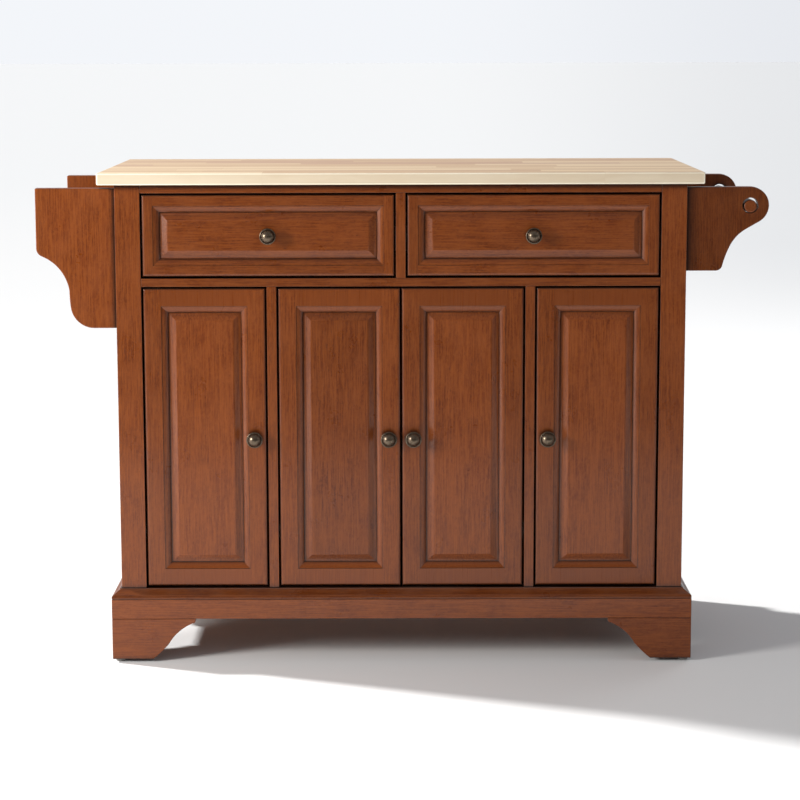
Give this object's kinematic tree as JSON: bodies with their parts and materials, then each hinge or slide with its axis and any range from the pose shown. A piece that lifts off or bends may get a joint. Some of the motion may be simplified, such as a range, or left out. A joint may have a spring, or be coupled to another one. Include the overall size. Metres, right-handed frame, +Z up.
{
  "type": "butcher block table",
  "caption": "Kitchen island table: stave-glued wood top on a stained cabinet with sliding drawers, hinged raised-panel doors, a spice rack and a towel bar.",
  "frame": {"origin": "on the floor, under the middle of the cabinet", "axes": "+X to the right end with the towel bar, -Y to the drawers and doors, +Z up"},
  "size_m": [1.342, 0.457, 0.914],
  "materials": {
    "block_wood": "pale hardwood staves, oiled",
    "cherry_wood": "reddish brown stain under satin lacquer",
    "inner_wood": "thin stained board, matt",
    "drawer_wood": "clear matt lacquer on pale wood",
    "knob_bronze": "dark antique bronze",
    "plated_steel": "zinc or nickel plated",
    "glide_plastic": "grey moulded plastic"
  },
  "bodies": {
    "cabinet": {"butcher_block_top": "block_wood", "side_panels": "cherry_wood", "back_panel": "cherry_wood", "face_posts": "cherry_wood", "face_rails": "cherry_wood", "face_dividers": "cherry_wood", "bottom_panel": "inner_wood", "drawer_deck": "inner_wood", "drawer_partition": "inner_wood", "door_partitions": "inner_wood", "adjustable_shelves": "inner_wood", "shelf_pins": "plated_steel", "top_cleats": "inner_wood", "slide_spacers": "inner_wood", "slide_cabinet_members": "plated_steel", "hinge_packers": "inner_wood", "hinge_arms": "plated_steel", "plinth_rails": "cherry_wood", "base_moulding": "cherry_wood", "feet_front": "cherry_wood", "feet_back": "cherry_wood", "foot_glides": "glide_plastic", "rack_brackets": "cherry_wood", "rack_shelves": "cherry_wood", "rack_guards": "cherry_wood", "towel_brackets": "cherry_wood", "wood_screws": "plated_steel"},
    "drawer_left": {"drawer_left_front_frame": "cherry_wood", "drawer_left_front_panel": "cherry_wood", "drawer_left_box": "drawer_wood", "drawer_left_bottom": "drawer_wood", "drawer_left_knob": "knob_bronze", "drawer_left_slide_members": "plated_steel"},
    "runner_left": {"runner_left": "plated_steel"},
    "drawer_right": {"drawer_right_front_frame": "cherry_wood", "drawer_right_front_panel": "cherry_wood", "drawer_right_box": "drawer_wood", "drawer_right_bottom": "drawer_wood", "drawer_right_knob": "knob_bronze", "drawer_right_slide_members": "plated_steel"},
    "runner_right": {"runner_right": "plated_steel"},
    "door_left": {"door_left_frame": "cherry_wood", "door_left_panel": "cherry_wood", "door_left_knob": "knob_bronze", "door_left_hinge_cups": "plated_steel"},
    "door_centre_left": {"door_centre_left_frame": "cherry_wood", "door_centre_left_panel": "cherry_wood", "door_centre_left_knob": "knob_bronze", "door_centre_left_hinge_cups": "plated_steel"},
    "door_centre_right": {"door_centre_right_frame": "cherry_wood", "door_centre_right_panel": "cherry_wood", "door_centre_right_knob": "knob_bronze", "door_centre_right_hinge_cups": "plated_steel"},
    "door_right": {"door_right_frame": "cherry_wood", "door_right_panel": "cherry_wood", "door_right_knob": "knob_bronze", "door_right_hinge_cups": "plated_steel"},
    "towel_bar": {"towel_bar": "cherry_wood"}
  },
  "joints": [
    {"name": "door_left_hinge", "type": "hinge", "parent": "cabinet", "child": "door_left", "pos_m": [-0.4495, -0.1905, 0.421], "axis": [0, 0, -1], "range_deg": [0, 95]},
    {"name": "door_centre_left_hinge", "type": "hinge", "parent": "cabinet", "child": "door_centre_left", "pos_m": [-0.20187, -0.1905, 0.421], "axis": [0, 0, -1], "range_deg": [0, 95]},
    {"name": "door_centre_right_hinge", "type": "hinge", "parent": "cabinet", "child": "door_centre_right", "pos_m": [0.20187, -0.1905, 0.421], "axis": [0, 0, 1], "range_deg": [0, 95]},
    {"name": "door_right_hinge", "type": "hinge", "parent": "cabinet", "child": "door_right", "pos_m": [0.4495, -0.1905, 0.421], "axis": [0, 0, 1], "range_deg": [0, 95]},
    {"name": "drawer_left_slide", "type": "slide", "parent": "cabinet", "child": "drawer_left", "axis": [0, -1, 0], "range_m": [0, 0.3]},
    {"name": "runner_left_slide", "type": "slide", "parent": "cabinet", "child": "runner_left", "axis": [0, -1, 0], "range_m": [0, 0.15]},
    {"name": "drawer_right_slide", "type": "slide", "parent": "cabinet", "child": "drawer_right", "axis": [0, -1, 0], "range_m": [0, 0.3]},
    {"name": "runner_right_slide", "type": "slide", "parent": "cabinet", "child": "runner_right", "axis": [0, -1, 0], "range_m": [0, 0.15]},
    {"name": "towel_bar_turn", "type": "hinge", "parent": "cabinet", "child": "towel_bar", "pos_m": [0.6395, 0, 0.8487], "axis": [0, 1, 0], "continuous": true}
  ],
  "couplings": [
    {"joint": "runner_left_slide", "follows": "drawer_left_slide", "ratio": 0.5},
    {"joint": "runner_right_slide", "follows": "drawer_right_slide", "ratio": 0.5}
  ]
}
